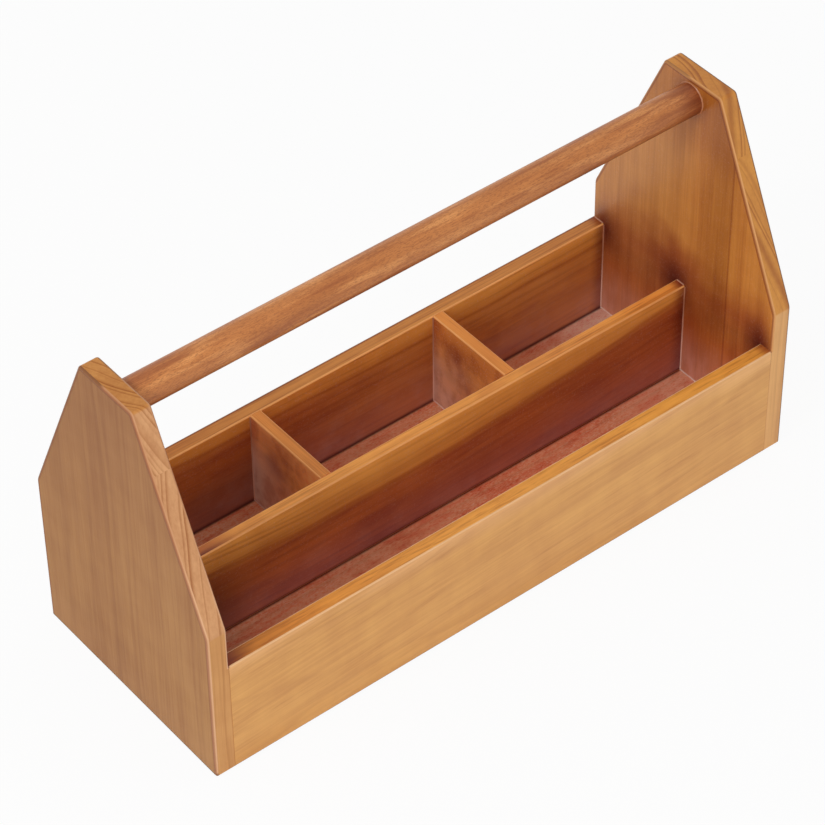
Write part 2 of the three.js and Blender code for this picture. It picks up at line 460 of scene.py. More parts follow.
class Graph:
    """The nodes of a material or of the world."""

    def __init__(self, owner):
        owner.use_nodes = True
        self.tree = owner.node_tree
        self.shader = self.tree.nodes.get("Principled BSDF")

    def node(self, kind, settings=None, inputs=None, output=0):
        """Adds a node, sets it up, feeds its sockets, and gives one of its outputs."""
        made = self.tree.nodes.new(kind)
        for key, value in (settings or {}).items():
            setattr(made, key, value)
        for key, value in (inputs or {}).items():
            self.feed(made.inputs[key], value)
        return Value(self, made.outputs[output])

    def feed(self, socket, value):
        """Links or sets one socket. A colour may be given without its alpha."""
        if isinstance(value, Value):
            self.tree.links.new(value.socket, socket)
        elif isinstance(value, tuple) and len(value) == 3 and socket.type == "RGBA":
            socket.default_value = (*value, 1)
        else:
            socket.default_value = value

    def surface(self, **sockets):
        """Feeds the shader's sockets, named with underscores for spaces."""
        for key, value in sockets.items():
            self.feed(self.shader.inputs[key.replace("_", " ").title()], value)

    def noise(self, vector, scale, detail=2.0, roughness=0.5, output=0):
        """Noise at a scale of its own along each axis: a number, or a colour as output 1."""
        return self.node("ShaderNodeTexNoise", inputs={
            "Vector": self.stretch(vector, scale), "Scale": 1.0, "Detail": detail, "Roughness": roughness,
        }, output=output)

    def noise_along(self, value, detail=0.0):
        """Noise that changes with one number only."""
        return self.node("ShaderNodeTexNoise", {"noise_dimensions": "1D"}, {
            "W": value, "Scale": 1.0, "Detail": detail,
        })

    def stretch(self, vector, scale, shift=(0, 0, 0), turn=(0, 0, 0)):
        """Scales, turns and then shifts a place."""
        return self.node("ShaderNodeMapping", inputs={
            "Vector": vector, "Location": shift, "Rotation": turn, "Scale": scale,
        })

    def step(self, value, low, high):
        """Rises smoothly from 0 at low to 1 at high."""
        return self.node("ShaderNodeMapRange", {"interpolation_type": "SMOOTHSTEP"}, {
            "Value": value, "From Min": low, "From Max": high,
        })

    def mix(self, factor, a, b, blend="MIX"):
        """A colour between two, or one that is blended with the other in another way."""
        return self.node("ShaderNodeMix", {"data_type": "RGBA", "blend_type": blend}, {
            0: factor, 6: a, 7: b,
        }, output=2)

    def parts(self, vector):
        """A vector's three numbers."""
        return [self.node("ShaderNodeSeparateXYZ", inputs={0: vector}, output=i) for i in range(3)]

    def vector_math(self, operation, a, b):
        return self.node("ShaderNodeVectorMath", {"operation": operation}, {0: a, 1: b})

    def length_across(self, vector, shift):
        """How far a place lies from the X axis, after a shift."""
        flat = self.vector_math("MULTIPLY", vector, (0, 1, 1))
        shifted = self.vector_math("ADD", flat, shift)
        return self.node("ShaderNodeVectorMath", {"operation": "LENGTH"}, {0: shifted}, output=1)


def times(graph, color, factor, mask=1.0):
    """Multiplies a colour where the mask is 1."""
    return graph.mix(mask, color, factor, "MULTIPLY")


def near(graph, distance, reach):
    """1 at no distance, and 0 from the reach on."""
    return 1 - graph.step(abs(distance), 0.0, reach)


def beyond(graph, distance, face):
    """0 up to a face, and 1 from just beyond it."""
    return graph.step(distance, face + NEAR, face + PAINT_EDGE)


def level_with(graph, distance, face):
    """1 level with a face, and 0 up to just before it."""
    return graph.step(distance, face - PAINT_EDGE, face - NEAR)


def grown(graph, color, growth, depth):
    """Shows the late wood of the growth rings as darker lines."""
    return times(graph, color, (0.66, 0.52, 0.42), growth * depth)


def combed(graph, color, log):
    """Fine darker fibres, as on the boards' sanded tops."""
    fine = graph.step(graph.noise(log + 1.3, (14, 520, 520), 4.0, 0.65), 0.46, 0.66)
    return times(graph, color, (0.74, 0.64, 0.58), fine)


def grit(graph, color, place, strength):
    """Fine pale specks and scratches, as on wood that was stained over its sanding dust."""
    speck = graph.noise(place, (850, 850, 850), 2.0, 0.6)
    scratch = graph.noise(place + 8.2, (160, 700, 700), 3.0, 0.6)
    color = graph.mix(graph.step(speck, 0.56, 0.72) * strength, color, DUST)
    return graph.mix(graph.step(scratch, 0.58, 0.72) * strength * 0.7, color, DUST)


# Colourings. Each takes the plain wood's colour, a place in its log and in the caddy, and the strength
# of its late wood there, and gives its stain with the painted light and shade named in each.

def box_stain_and_painted_light(graph, color, place, growth, middle, lit_depth, rise):
    """The stain inside the compartments, with painted light and shade. Down to a long arc, which bends
    down on both sides of a middle, painted light makes the wood golden, with darker lines along the arc.
    Below it painted shade makes it red-brown, darkest at the foot and at the ends, with pale dust in
    patches low down, most in the rear, and a painted bluish sheen near the foot. Painted light makes the
    rear compartments' walls lighter towards the right."""
    x, y, z = graph.parts(place)
    height = z - floor_top
    wave = graph.noise(place, (6, 6, 14), 2.0) - 0.5
    bend = x - middle
    depth = board_top - z + bend * bend * rise + wave * 0.012
    deep = graph.step(depth, lit_depth - 0.003, lit_depth + 0.006)
    rear = graph.step(y, 0.0, 0.004)
    rightward = graph.step(x, -0.08, 0.15) * rear
    line = graph.step(graph.noise_along(depth * 260 + middle * 40 + 4.2, 1.0), 0.46, 0.70)
    seen = graph.step(graph.noise(place + 6.6, (9, 9, 30), 2.0), 0.34, 0.62)
    color = grown(graph, color, growth, 0.22)
    color = times(graph, color, (0.64, 0.48, 0.40), line * seen * (0.6 - deep * 0.3))
    color = times(graph, color, (0.78, 0.64, 0.56), near(graph, depth - lit_depth, 0.003))
    # Painted shade below the arc, painted lighter in the rear towards the right, and painted light above
    # it, dimmer in the rear but for the right
    dark = times(graph, color, (0.75, 0.50, 0.62))
    dark = times(graph, dark, (1.42, 2.20, 2.30), rightward)
    golden = times(graph, color, (1.12, 1.14, 1.22))
    golden = times(graph, golden, (0.80, 0.64, 0.54), rear * (1 - rightward))
    color = graph.mix(deep, golden, dark)
    blotch = graph.step(graph.noise(place + 3.1, (12, 12, 46), 4.0, 0.6), 0.44, 0.70)
    color = times(graph, color, (0.74, 0.60, 0.70), blotch * deep)
    # Painted shade at the left-hand end, from the left panel, and at the right-hand end
    at_left = near(graph, x - left_high.x, 0.085)
    color = times(graph, color, (0.32, 0.30, 0.40), at_left * (0.2 + deep * 0.8))
    color = times(graph, color, (0.50, 0.36, 0.46), near(graph, x - right_low.x, 0.012))
    low = 1 - graph.step(height, 0.004, 0.05)
    patch = graph.step(graph.noise(place + 7.7, (30, 30, 34), 4.0, 0.6), 0.42, 0.66)
    color = graph.mix(low * (0.05 + patch * 0.12) * (1 + rear * 1.3), color, DUST)
    # A painted bluish sheen near the foot
    color = graph.mix(near(graph, height, 0.036) * 0.14, color, (0.50, 0.42, 0.72))
    color = grit(graph, color, place, 0.16)
    # More painted shade low down at the left-hand end
    color = times(graph, color, (0.36, 0.34, 0.38), at_left * (1 - graph.step(height, 0.02, 0.055)))
    middle_low = near(graph, height - 0.022, 0.020) * near(graph, x - DULL_WALLS, 0.11) * (1 - rear)
    color = times(graph, color, (0.84, 0.76, 0.74), middle_low)
    # Painted shade low down in the rear left
    rear_left = rear * (1 - graph.step(x, -0.09, -0.02)) * (1 - graph.step(height, 0.02, 0.05))
    color = times(graph, color, (0.78, 0.80, 0.78), rear_left)
    # Painted shade in a dark line at the foot
    return times(graph, color, (0.34, 0.26, 0.36), near(graph, height, 0.0036))


def divider_stain_and_painted_light(graph, color, log, place, growth):
    """The long divider: stained on both sides with the compartments' painted light and shade, and golden
    on top, but for a painted shadow with a darker smear in it and a right-hand end darkened by painted
    shade. Low on its side is a paler patch."""
    x, y, z = graph.parts(place)
    top = level_with(graph, z, board_top)
    patch = graph.noise(place, (24, 60, 60), 3.0)
    gold = times(graph, grown(graph, color, growth, 0.4), (1.42, 1.40, 1.48))
    gold = times(graph, gold, (0.90, 0.84, 0.82), graph.step(patch, 0.48, 0.64))
    gold = combed(graph, gold, log)
    # A painted shadow on the top, and painted shade towards and at the right-hand end
    gold = times(graph, gold, (0.62, 0.44, 0.40), near(graph, x - TOP_SHADOW_PATCH, 0.034))
    gold = times(graph, gold, (1.0, 0.88, 0.82), near(graph, x - right_low.x, 0.07))
    smear = near(graph, x - TOP_SHADOW_PATCH, 0.024) * near(graph, y - divider_low.y, 0.0055)
    gold = times(graph, gold, (0.40, 0.22, 0.24), smear)
    gold = times(graph, gold, (0.35, 0.14, 0.20), near(graph, x - right_low.x, 0.009))
    side = box_stain_and_painted_light(graph, color, place, growth, middle=-0.02, lit_depth=0.027, rise=0.36)
    paler_part = near(graph, x - PALE_SIDE_PATCH, 0.075) * (1 - graph.step(z - floor_top, 0.026, 0.044))
    side = times(graph, side, (1.24, 1.28, 1.30), paler_part)
    return graph.mix(top, side, gold)


def cross_stain_and_painted_light(graph, color, log, place, growth):
    """A cross divider: brown with one darker blotch, painted shade along the back board and painted light
    in front, dusty towards the foot and paler still at the back of the foot, with a painted dark line of
    shade at the foot. The left-hand one is paler and pinker."""
    x, y, z = graph.parts(place)
    top = level_with(graph, z, board_top)
    gold = combed(graph, times(graph, grown(graph, color, growth, 0.4), (1.12, 0.90, 0.78)), log)
    on_right = graph.step(x, -0.01, 0.01)
    hue = graph.mix(on_right, (1.42, 1.50, 2.6), (1.12, 1.08, 1.14))
    side = times(graph, grown(graph, color, growth, 0.14), hue)
    cloud = graph.noise(place + 6.1, (26, 26, 26), 3.0)
    blotch = near(graph, z - BLOTCH_Z, 0.030) * near(graph, y - BLOTCH_Y, 0.026)
    side = times(graph, side, (0.50, 0.34, 0.42), blotch * graph.step(cloud, 0.3, 0.6))
    # Painted shade along the back board, and painted light in front, by the long divider
    side = times(graph, side, (0.62, 0.46, 0.52), near(graph, y - back_low.y, 0.010))
    lit = graph.mix(on_right, (1.50, 1.80, 1.80), (1.02, 1.02, 1.08))
    side = times(graph, side, lit, 1 - graph.step(y, 0.016, 0.040))
    side = times(graph, side, (0.84, 0.72, 0.80), graph.step(z, 0.058, 0.078))
    low = 1 - graph.step(z - floor_top, 0.006, 0.066)
    patch = graph.step(graph.noise(place + 4.9, (36, 36, 36), 4.0, 0.6), 0.38, 0.64)
    corner = near(graph, y - back_low.y, 0.045) * low
    side = graph.mix(low * (0.28 + patch * 0.34), side, (0.88, 0.56, 0.46))
    side = graph.mix(corner * (0.9 - on_right * 0.6), side, (1.0, 0.88, 0.80))
    mottle = graph.step(graph.noise(place + 1.7, (70, 70, 45), 4.0, 0.65), 0.42, 0.66)
    side = grit(graph, times(graph, side, (0.78, 0.66, 0.62), mottle), place, 0.34)
    # Painted shade in a dark line at the foot
    side = times(graph, side, (0.35, 0.28, 0.3), near(graph, z - floor_top, 0.0015))
    return graph.mix(top, side, gold)


def board_stain_and_painted_light(top, outer):
    """The colouring of a front or back board: the stain and painted light and shade of the compartments
    inside, and its own stain on top and outside. Its top has painted shade near both end panels, and the
    back board's along its outer arris."""
    def colouring(graph, color, log, place, growth):
        x, y, z = graph.parts(place)
        upper = combed(graph, times(graph, grown(graph, color, growth, 0.3), top), log)
        # Painted shade on the top towards and at the left panel, at the right panel, and in a line along
        # the back board's outer arris
        upper = times(graph, upper, (0.86, 0.70, 0.46), near(graph, x - left_high.x, 0.18))
        upper = times(graph, upper, (0.36, 0.14, 0.04), near(graph, x - left_high.x, 0.026))
        upper = times(graph, upper, (0.55, 0.34, 0.42), near(graph, x - right_low.x, 0.009))
        upper = times(graph, upper, (0.55, 0.38, 0.32), near(graph, y - back_high.y + BOARD_EASE, 0.0016))
        face = times(graph, grown(graph, color, growth, 0.24), outer)
        pale = near(graph, z - board_top, 0.018) * graph.step(graph.noise(place, (9, 9, 60)), 0.30, 0.55)
        face = times(graph, face, (1.10, 1.16, 1.60), pale)
        warm = near(graph, z, 0.024) * graph.step(graph.noise(place + 9.1, (10, 10, 40)), 0.30, 0.5)
        warm = warm * (1 - graph.step(x, 0.10, 0.20))
        face = times(graph, face, (0.93, 0.88, 0.76), warm)
        fleck = graph.step(graph.noise(log + 2.7, (24, 260, 260), 3.0, 0.6), 0.60, 0.74)
        face = times(graph, face, (0.84, 0.74, 0.66), fleck * 0.5)
        inner = box_stain_and_painted_light(graph, color, place, growth, middle=0.08, lit_depth=0.016, rise=0.2)
        distance = abs(y)
        color = graph.mix(beyond(graph, distance, back_low.y), inner, upper)
        return graph.mix(level_with(graph, distance, back_high.y), color, face)
    return colouring


def panel_depth(graph, y, z):
    """How far inside the upper and slanted edges a point of an end panel's face lies."""
    edge = Vector((right_high.z - SHOULDER_HEIGHT, right_high.y - PEAK_WIDTH / 2)).normalized()
    from_slant = (right_high.y - abs(y)) * edge.x + (SHOULDER_HEIGHT - z) * edge.y
    return from_slant.at_most(right_high.z - z)


def panel_stain_and_painted_light(front, slant, top, outer):
    """The colouring of an end panel: its outer face, with a line of painted shade inside its arrises, the
    edges round it and its inner face. The upright edges in front have a stain of their own, those at the
    back that of the slanted ones."""
    def colouring(graph, color, log, place, growth):
        x, y, z = graph.parts(place)
        face = times(graph, grown(graph, color, growth, 0.3), outer)
        face = times(graph, face, (0.86, 0.82, 0.88), graph.step(z, 0.04, right_high.z))
        face = times(graph, face, (1.13, 1.20, 1.28), graph.step(y * -1, -0.04, 0.075))
        face = times(graph, face, (1.05, 1.07, 1.18), near(graph, z, 0.045))
        rind = panel_depth(graph, y, z).at_most(right_high.y - abs(y))
        # Painted shade in a narrow dark line inside the outer face's arrises
        face = times(graph, face, (0.72, 0.60, 0.55), near(graph, rind - PANEL_EASE, 0.0016))
        above = graph.step(z, SHOULDER_HEIGHT - 0.002, SHOULDER_HEIGHT).at_least(graph.step(y, 0.0, 0.01))
        edge = graph.mix(above, front, slant)
        edge = graph.mix(graph.step(z, right_high.z - 0.002, right_high.z - 0.0005), edge, top)
        rim = times(graph, grown(graph, color, growth, 0.5 + above * 0.5), edge)
        inner = inner_face_stain_and_painted_light(graph, grown(graph, color, growth, 0.16), log, place)
        distance = abs(x)
        color = graph.mix(beyond(graph, distance, right_low.x), inner, rim)
        return graph.mix(level_with(graph, distance, right_high.x), color, face)
    return colouring


def inner_face_stain_and_painted_light(graph, color, log, place):
    """An end panel's inner face. Its stain is darker in soft clouds along the staves' joint, with dust at
    the foot. Painted light gives it a grey sheen at the back and golden light in front; painted shade
    darkens the top, the wood round the rod, a line inside the slanted edges, soft clouds where the
    boards meet it and the foot of the front board, and makes it red-brown below."""
    _, y, z = graph.parts(place)
    # A painted grey sheen towards the back
    across = graph.mix(graph.step(y, -0.035, 0.05), (0.87, 0.81, 0.86), (0.82, 0.83, 1.18))
    color = times(graph, color, across)
    color = times(graph, color, (0.70, 0.64, 0.57), near(graph, y - STAVE_JOINT - 0.010, 0.024))
    comb = graph.step(graph.noise(log + 5.5, (9, 420, 420), 4.0, 0.65), 0.44, 0.68)
    color = times(graph, color, (0.80, 0.72, 0.66), comb * 0.45)
    band = graph.step(graph.noise(log + 3.9, (3, 70, 70), 3.0, 0.6), 0.42, 0.62)
    color = times(graph, color, (0.84, 0.78, 0.74), band * 0.7)
    color = times(graph, color, (0.60, 0.42, 0.34), near(graph, y - STAVE_JOINT, 0.0013) * 0.7)
    # Painted shade at the top, from the rod
    color = times(graph, color, (0.85, 0.75, 0.56), graph.step(z, 0.185, 0.22))
    rind = panel_depth(graph, y, z)
    # Painted shade in a narrow dark line inside the slanted edges
    color = times(graph, color, (0.50, 0.32, 0.30), near(graph, rind - PANEL_EASE, 0.0014))
    # Painted light along the front edge
    front_edge = graph.step(y * -1, 0.050, 0.075) * graph.step(z, 0.11, 0.14)
    color = times(graph, color, (1.07, 1.14, 1.26), front_edge)
    # Painted shade round the rod
    from_rod = graph.length_across(place, (0, -rod_middle.y, -rod_middle.z))
    color = times(graph, color, (0.46, 0.30, 0.24), near(graph, from_rod, 0.021))
    # Painted shade in soft clouds along the boards' tops
    inside = 1 - graph.step(abs(y), back_low.y - NEAR, back_low.y + 0.008)
    wave = (graph.noise(place, (26, 26, 26), 2.0) - 0.5) * 0.06
    painted_shade_band = near(graph, z - board_top + 0.002 + wave, 0.048) * inside
    color = times(graph, color, (0.68, 0.48, 0.52), painted_shade_band)
    # Painted shade over the long divider's end
    shade_smudge = near(graph, y - SHADE_SMUDGE_PLACE, 0.034) * near(graph, z - board_top - 0.010 + wave, 0.036)
    color = times(graph, color, (0.66, 0.46, 0.48), shade_smudge)
    # Painted shade low down near the front board, and dark painted shade in the corners at the boards' tops
    shade = near(graph, y - front_high.y, 0.030) * (1 - graph.step(z, 0.10, 0.13))
    color = times(graph, color, (0.82, 0.72, 0.78), shade)
    for wall in (front_high.y, 0.004, back_low.y):
        corner = near(graph, z - board_top + 0.002, 0.026) * near(graph, y - wall, 0.022)
        color = times(graph, color, (0.32, 0.15, 0.20), corner)
    # Painted shade makes it red-brown below the boards' tops, with a paler painted sheen low in the front
    # compartment and darker by the long divider
    below = (1 - graph.step(z, board_top - 0.034, board_top - 0.004)) * inside
    color = times(graph, color, (0.96, 0.72, 0.70), below)
    color = times(graph, color, (1.26, 1.34, 1.44), near(graph, y + 0.036, 0.018) * below)
    color = times(graph, color, (0.86, 0.72, 0.70), near(graph, y + 0.008, 0.014) * below)
    foot = 1 - graph.step(z - floor_top, 0.0, 0.05)
    patch = graph.step(graph.noise(place + 5.3, (60, 60, 22), 4.0, 0.6), 0.40, 0.64)
    behind = 1 - near(graph, y - 0.012, 0.024)
    dusty = foot * inside * (0.36 + patch * 0.34) * (0.25 + behind * 0.75)
    color = graph.mix(dusty, color, (0.86, 0.46, 0.36))
    return grit(graph, color, place, 0.10)


def sheet_stain_and_painted_light(graph, color, log, place, growth):
    """The floor of the compartments: fine grain and darker patches, with pale and dark specks. Painted
    light makes it paler at the right-hand end, most of all in the rear, and painted shade darker at the
    left-hand end and in lines at the foot of the long divider and the back board. It is also darker in the
    middle of the front compartment."""
    x, y, _ = graph.parts(place)
    color = grown(graph, color, growth, 0.3)
    rear = graph.step(y, 0.0, 0.004)
    patch = graph.step(graph.noise(place, (22, 40, 40), 2.0), 0.42, 0.62)
    color = times(graph, color, (0.97, 0.78, 0.72), near(graph, x - DULL_FLOOR, 0.14) * (1 - rear))
    grain = graph.step(graph.noise(place + 2.3, (40, 260, 260), 3.0, 0.6), 0.44, 0.66)
    color = times(graph, color, (0.95, 0.66, 0.60), grain)
    # Painted light at the right-hand end, most of all in the rear
    corner = near(graph, x - right_low.x, 0.085) * (0.25 + rear * 0.75)
    color = graph.mix(corner * 0.75, color, (1.0, 0.76, 0.64))
    shade = graph.noise(place + 3.3, (70, 110, 110), 4.0, 0.65)
    color = times(graph, color, (0.90, 0.74, 0.68), graph.step(shade, 0.44, 0.68))
    speck = graph.noise(place, (420, 1100, 1100), 3.0, 0.75)
    color = times(graph, color, (0.94, 0.62, 0.58), 1 - graph.step(speck, 0.36, 0.50))
    pale = graph.step(speck, 0.52, 0.66) * (0.10 + patch * 0.35 + rear * 0.1)
    color = graph.mix(pale, color, (1.0, 0.74, 0.56))
    # Painted shade at the left-hand end, and in dark lines at the feet of the long divider and the back
    # board
    color = times(graph, color, (0.45, 0.42, 0.52), near(graph, x - left_high.x, 0.075))
    for wall in (divider_low.y, back_low.y):
        color = times(graph, color, (0.25, 0.18, 0.2), near(graph, y - wall, 0.0018))
    return color


def rod_stain_and_painted_light(graph, color, log, place, growth):
    """The rod: amber and red-brown streaks, many fine dark dashes, and a scar. Painted shade makes it
    darker underneath and at the right-hand end, and painted light lighter on top."""
    streak = graph.noise(log, (12, 200, 200), 5.0, 0.65)
    color = graph.mix(graph.step(streak, 0.44, 0.64) * 0.75, color, (0.33, 0.095, 0.03))
    glow = graph.noise(log + 4.4, (18, 190, 190), 4.0, 0.6)
    color = graph.mix(graph.step(glow, 0.48, 0.68) * 0.65, color, (0.76, 0.33, 0.11))
    dash = graph.noise(log, (420, 1900, 1900), 3.0, 0.6)
    color = graph.mix(graph.step(dash, 0.48, 0.64) * 0.5, color, (0.26, 0.08, 0.03))
    x, _, z = graph.parts(place)
    scar = near(graph, x - SCAR_PLACE, 0.018) * near(graph, z - rod_low.z, 0.011)
    color = times(graph, color, (0.38, 0.26, 0.34), scar)
    # Painted shade underneath, and painted light on top
    painted_shade_below = 1 - graph.step(z - rod_low.z, rod_radius * 0.36, rod_radius * 0.9)
    color = times(graph, color, (0.58, 0.50, 0.50), painted_shade_below)
    painted_light_top = graph.step(z - rod_middle.z, rod_radius * 0.4, rod_radius)
    color = times(graph, color, (1.20, 1.22, 1.22), painted_light_top)
    # Painted shade at the right-hand end, by the right panel
    return times(graph, color, (0.62, 0.46, 0.42), near(graph, x - right_low.x, 0.024))


def plain(graph, color, log, place, growth):
    """Wood that shows nothing but its growth rings."""
    return grown(graph, color, growth, 0.6)


def wood(name, grain, light, dark, pith, ring=0.004, streak_depth=0.3, cloud_depth=0.3, sway=0.014,
         staves=(), slope=0.0, seed=0.0, gloss=0.35, coat=0.15, colouring=plain):
    """Lacquered solid wood. Growth rings lie round the pith, which is offset from the caddy's
    middle across the grain. Rings differ in width and strength, and fine fibres and broad clouds
    run along them. Each stave, from its joint on, comes from another part of the log."""
    material = bpy.data.materials.new(name)
    graph = Graph(material)
    place = graph.node("ShaderNodeTexCoord", output=3)
    turn = Vector(GRAIN_TURNS[grain]) + Vector((0, slope, 0))
    log = graph.stretch(place, (1, 1, 1), (seed, *pith), turn)
    for joint, shift in staves:
        y = graph.parts(place)[1]
        shift = graph.mix(y.is_below(joint), (0, 0, 0), shift)
        log = graph.vector_math("ADD", log, shift)

    # The rings sway a little, their width changes from one to the next, and some have faint late wood
    drift = graph.noise(log, (4, 16, 16), output=1)
    drift = graph.vector_math("SUBTRACT", drift, (0.5, 0.5, 0.5))
    drift = graph.vector_math("MULTIPLY", drift, (0.0, sway, sway))
    rings = graph.length_across(log, drift) / ring
    phase = (rings + graph.noise_along(rings * 0.37) * 2.4).fraction()
    late = graph.step(phase, 0.25, 0.86) * (1 - graph.step(phase, 0.9, 1.0))
    growth = late * graph.step(graph.noise_along(rings * 0.61 + 9.7), 0.3, 0.72)

    # Fibres, streaks and clouds run along the grain, and ripples cross it
    fibre = graph.noise(log, (22, 750, 750), 4.0, 0.65)
    streak = graph.noise(log, (6, 150, 150), 4.0)
    cloud = graph.noise(log, (8, 30, 30), 3.0)
    ripple = graph.noise(log + 1.9, (55, 30, 30), 4.0)
    tone = (0.55 + (fibre - 0.5) * streak_depth * 1.8 + (streak - 0.5) * streak_depth * 2
            + (cloud - 0.5) * cloud_depth * 2 + (ripple - 0.5) * 0.4)
    color = graph.mix(graph.step(tone, 0.1, 1.1), light, dark)
    graph.surface(base_color=colouring(graph, color, log, place, growth),
                  roughness=0.46 + (fibre - 0.5) * 0.15)
    graph.shader.inputs["Specular IOR Level"].default_value = gloss
    graph.shader.inputs["Coat Weight"].default_value = coat
    graph.shader.inputs["Coat Roughness"].default_value = 0.25
    bump = graph.node("ShaderNodeBump", inputs={
        "Strength": 0.2, "Distance": 0.0003, "Height": fibre,
    })
    graph.surface(normal=bump)
    return material


def worn_wood_and_painted_light(name, light, dark, right, pale_to):
    """The arrises. In front of a given y they are pale, partly from wear and partly a painted highlight,
    less so on the right and high up on the left, with a narrow dark line of painted shade along an end
    panel's faces. At the back, at the foot and outside on the right they are dark with painted shade."""
    material = bpy.data.materials.new(name)
    graph = Graph(material)
    place = graph.node("ShaderNodeTexCoord", output=3)
    x, y, z = graph.parts(place)
    patch = graph.noise(place, (60, 60, 60), 2.0)
    # The pale arris colour: worn stain with a painted highlight
    thin = graph.mix(patch, light, dark)
    on_left = times(graph, thin, (0.80, 0.68, 0.58), graph.step(z, 0.12, 0.20))
    paler_part = graph.mix(graph.step(x, -0.01, 0.01), on_left, times(graph, thin, right))
    distance = abs(x)
    from_inner_face = distance - right_low.x
    from_outer_face = distance - right_high.x
    # Painted shade in a narrow dark line along the faces
    shadow_line = near(graph, from_inner_face, 0.0009).at_least(near(graph, from_outer_face, 0.0011))
    paler_part = times(graph, paler_part, (0.50, 0.36, 0.30), shadow_line)
    # Painted shade on the arrises at the back, at the foot and outside on the right, darkest along the
    # inner faces
    behind = graph.step(y, pale_to, pale_to + 0.006)
    outside = graph.step(x, right_high.x - 0.008, right_high.x - 0.004)
    shaded_arris = behind.at_least(outside.at_least(1 - graph.step(z, 0.001, 0.004)))
    stained = graph.mix(near(graph, from_inner_face, 0.003), (0.26, 0.10, 0.035), (0.46, 0.20, 0.065))
    graph.surface(base_color=graph.mix(shaded_arris, paler_part, stained), roughness=0.42 + patch * 0.1)
    graph.shader.inputs["Specular IOR Level"].default_value = 0.3
    return material


def dried_glue():
    """Brown glue with a soft gloss, darker round the rod, and paler low down, which is a painted highlight.
    """
    material = bpy.data.materials.new("dried glue")
    graph = Graph(material)
    place = graph.node("ShaderNodeTexCoord", output=3)
    patch = graph.noise(place, (90, 90, 90), 2.0)
    color = graph.mix(patch, (0.62, 0.30, 0.18), (0.30, 0.10, 0.05))
    z = graph.parts(place)[2]
    # A painted highlight: the glue is paler low down
    color = graph.mix((1 - graph.step(z, 0.02, 0.075)) * 0.85, color, (1.0, 0.74, 0.62))
    color = graph.mix(graph.step(z, 0.15, 0.16), color, (0.44, 0.16, 0.06))
    graph.surface(base_color=color, roughness=0.3 + patch * 0.15)
    return material


def build_materials():
    """Every material of the caddy, by a short name."""
    left_colouring = panel_stain_and_painted_light(
        front=(0.90, 1.07, 2.2), slant=(0.92, 1.13, 3.0), top=(0.86, 0.89, 1.45), outer=(0.52, 0.55, 0.94))
    right_colouring = panel_stain_and_painted_light(
        front=(0.98, 1.17, 2.1), slant=(0.86, 0.85, 0.83), top=(0.94, 0.89, 0.87), outer=(0.66, 0.60, 0.9))
    return {
        "left_panel": wood("left panel wood", "Z", AMBER, BROWN, (-0.08, -0.083),
                           staves=((STAVE_JOINT, (0.11, 0.222, 0.002)),), ring=0.003,
                           seed=0.4, gloss=0.1, coat=0.05, colouring=left_colouring),
        "right_panel": wood("right panel wood", "Z", AMBER, BROWN, (-0.03, 0.105),
                            staves=((STAVE_JOINT, (0.17, 0.167, -0.0155)),), seed=0.9, colouring=right_colouring),
        "front": wood("front board wood", "X", AMBER, BROWN, (0.03, -0.04), ring=0.0045,
                      cloud_depth=0.2, sway=0.03, slope=radians(3), seed=1.3,
                      colouring=board_stain_and_painted_light(top=(1.20, 1.20, 1.08), outer=(0.98, 1.14, 1.70))),
        "back": wood("back board wood", "X", AMBER, BROWN, (0.10, 0.05), ring=0.006, seed=2.1,
                     colouring=board_stain_and_painted_light(top=(0.93, 0.84, 0.86), outer=(0.90, 1.0, 1.3))),
        "divider": wood("long divider wood", "X", AMBER, BROWN, (0.06, 0.08), ring=0.006, seed=3.4,
                        colouring=divider_stain_and_painted_light),
        "cross": wood("cross divider wood", "Y", AMBER, BROWN, (0.05, 0.06), ring=0.012,
                      seed=4.2, colouring=cross_stain_and_painted_light),
        "sheet": wood("bottom panel wood", "X", (1.0, 0.52, 0.30), (1.0, 0.42, 0.22), (0.4, 0.3),
                      seed=5.7, colouring=sheet_stain_and_painted_light),
        "rod": wood("rod wood", "X", (0.605, 0.232, 0.070), (0.405, 0.128, 0.035), (0.02, 0.015),
                    seed=6.5, gloss=0.25, coat=0.14, colouring=rod_stain_and_painted_light),
        "pin": wood("pin wood", "X", (0.72, 0.54, 0.32), (0.58, 0.40, 0.22), (0.03, 0.02), seed=7.9),
        "panel arris": worn_wood_and_painted_light("panel arris", (0.79, 0.46, 0.26), (0.71, 0.37, 0.18),
                                 right=(0.94, 0.80, 0.52), pale_to=0.0),
        "front arris": worn_wood_and_painted_light("front arris", (0.92, 0.56, 0.30), (0.80, 0.44, 0.19),
                                 right=WHITE, pale_to=0.080),
        "board arris": worn_wood_and_painted_light("board arris", (1.0, 0.46, 0.15), (0.80, 0.34, 0.10),
                                 right=WHITE, pale_to=0.080),
        "glue": dried_glue(),
    }


# Assembly

def dress(piece, materials, slot, *nodes):
    """Gives a piece its materials, face by face, and its place in the frame."""
    faces = piece.data.polygons
    chosen = [min(face.material_index, len(materials) - 1) for face in faces]
    piece.data.materials.clear()
    for material in materials:
        piece.data.materials.append(material)
    faces.foreach_set("material_index", chosen)
    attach(piece, "root")
    if nodes:
        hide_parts(*nodes)


